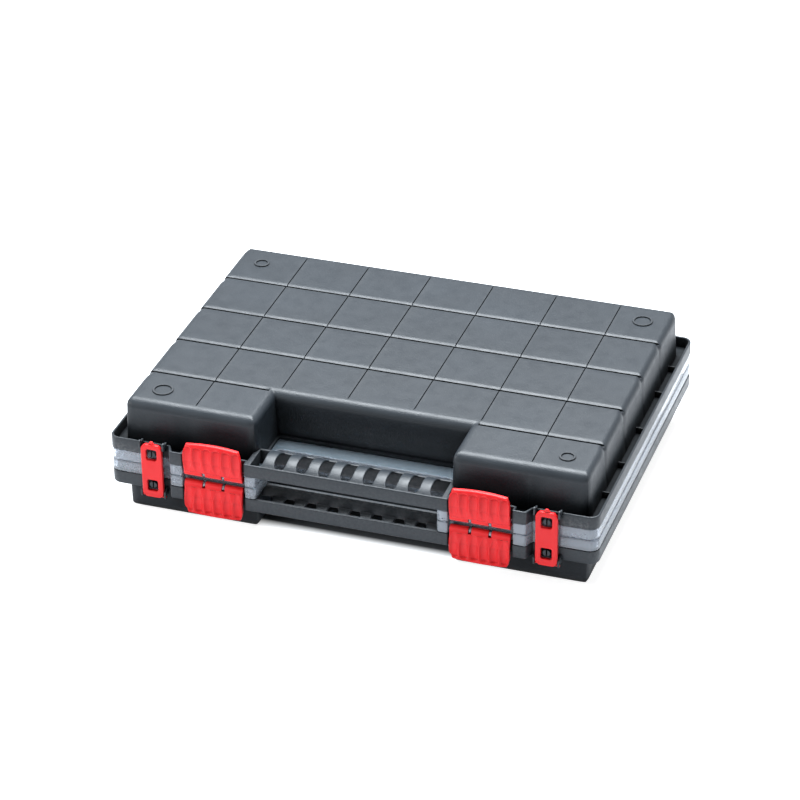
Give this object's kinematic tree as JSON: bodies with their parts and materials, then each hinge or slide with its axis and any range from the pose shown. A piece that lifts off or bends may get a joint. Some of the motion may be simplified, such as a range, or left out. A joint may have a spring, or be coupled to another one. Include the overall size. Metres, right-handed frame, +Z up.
{
  "type": "double sided organizer case",
  "caption": "Carry case of two black compartment trays lid to lid, with clear lids, red latches and clips, and ribbed handles",
  "frame": {"origin": "middle of the case on the surface it rests on, at the lower rings", "axes": "+X to the right along the handles, -Y towards the handles and latches, +Z up"},
  "size_m": [0.397, 0.3068, 0.1008],
  "materials": {
    "black_plastic": "fine grained dark grey black polypropylene with soft satin edges",
    "divider_plastic": "fine grained dark polypropylene",
    "clear_lid": "clear, faintly blue moulded plastic, glossy",
    "red_plastic": "bright red moulded plastic, satin"
  },
  "bodies": {
    "lower_case": {"lower_tray": "black_plastic", "lower_divider_1": "divider_plastic", "lower_divider_2": "divider_plastic", "lower_divider_3": "divider_plastic", "lower_divider_4": "divider_plastic", "lower_divider_5": "divider_plastic", "lower_divider_6": "divider_plastic", "lower_divider_7": "divider_plastic"},
    "lid_pair": {"lower_lid": "clear_lid", "upper_lid": "clear_lid"},
    "upper_case": {"upper_tray": "black_plastic", "upper_divider_1": "divider_plastic", "upper_divider_2": "divider_plastic", "upper_divider_3": "divider_plastic", "upper_divider_4": "divider_plastic", "upper_divider_5": "divider_plastic", "upper_divider_6": "divider_plastic", "upper_divider_7": "divider_plastic"},
    "lower_latch_left": {"lower_latch_left": "red_plastic"},
    "lower_latch_right": {"lower_latch_right": "red_plastic"},
    "upper_latch_left": {"upper_latch_left": "red_plastic"},
    "upper_latch_right": {"upper_latch_right": "red_plastic"},
    "clip_left": {"clip_left": "red_plastic"},
    "clip_right": {"clip_right": "red_plastic"}
  },
  "joints": [
    {"name": "lower_hinge", "type": "hinge", "parent": "lower_case", "child": "lid_pair", "pos_m": [0, 0.14965, 0.0405], "axis": [-1, 0, 0], "range_deg": [0, 100]},
    {"name": "upper_hinge", "type": "hinge", "parent": "lid_pair", "child": "upper_case", "pos_m": [0, 0.14965, 0.0603], "axis": [-1, 0, 0], "range_deg": [0, 100]},
    {"name": "lower_latch_left_pivot", "type": "hinge", "parent": "lid_pair", "child": "lower_latch_left", "pos_m": [-0.1082, -0.14785, 0.0457], "axis": [-1, 0, 0], "range_deg": [0, 80]},
    {"name": "upper_latch_left_pivot", "type": "hinge", "parent": "lid_pair", "child": "upper_latch_left", "pos_m": [-0.1082, -0.14785, 0.0551], "axis": [1, 0, 0], "range_deg": [0, 80]},
    {"name": "clip_left_tilt", "type": "hinge", "parent": "lower_case", "child": "clip_left", "pos_m": [-0.1601, -0.14695, 0.0269], "axis": [1, 0, 0], "range_deg": [0, 95]},
    {"name": "lower_latch_right_pivot", "type": "hinge", "parent": "lid_pair", "child": "lower_latch_right", "pos_m": [0.1082, -0.14785, 0.0457], "axis": [-1, 0, 0], "range_deg": [0, 80]},
    {"name": "upper_latch_right_pivot", "type": "hinge", "parent": "lid_pair", "child": "upper_latch_right", "pos_m": [0.1082, -0.14785, 0.0551], "axis": [1, 0, 0], "range_deg": [0, 80]},
    {"name": "clip_right_tilt", "type": "hinge", "parent": "lower_case", "child": "clip_right", "pos_m": [0.1601, -0.14695, 0.0269], "axis": [1, 0, 0], "range_deg": [0, 95]}
  ]
}
